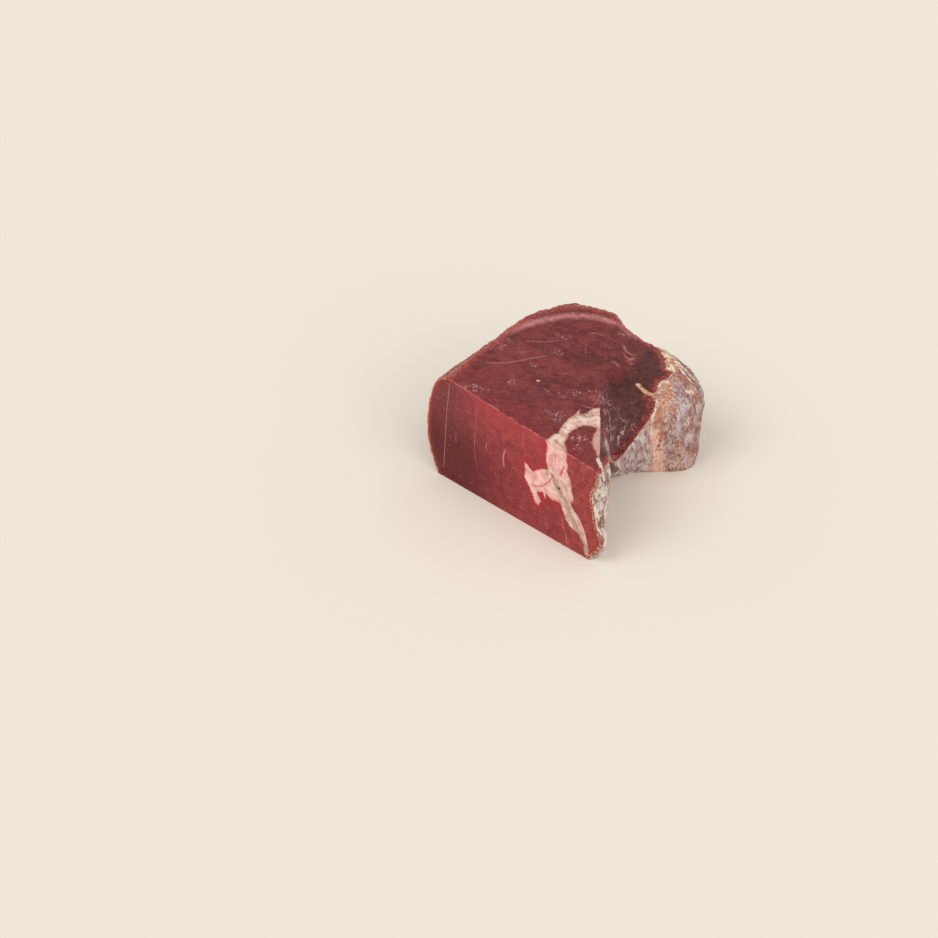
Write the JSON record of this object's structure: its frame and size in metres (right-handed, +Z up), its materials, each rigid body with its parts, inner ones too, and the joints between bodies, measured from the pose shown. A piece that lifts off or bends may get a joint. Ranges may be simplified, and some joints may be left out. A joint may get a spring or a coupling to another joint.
{
  "type": "cecina cured beef block",
  "caption": "Block of air-dried cured beef with a flat front cut, a flat cut top, rounded dried skin at the sides and a deep crease between its front and rear lobes.",
  "frame": {"origin": "centre of the block's bounding box in plan, at the height of its flat foot", "axes": "-Y out of the fresh front cut, +X along the front cut towards its fat seam and the crease, +Z up"},
  "size_m": [0.1522, 0.1422, 0.0758],
  "materials": {
    "cured_beef": "dull, dry cured beef: fresh wine-red front cut, darker dried top, pale fat seam, grey-brown skin"
  },
  "bodies": {
    "root": {"cecina_block": "cured_beef"}
  },
  "joints": []
}
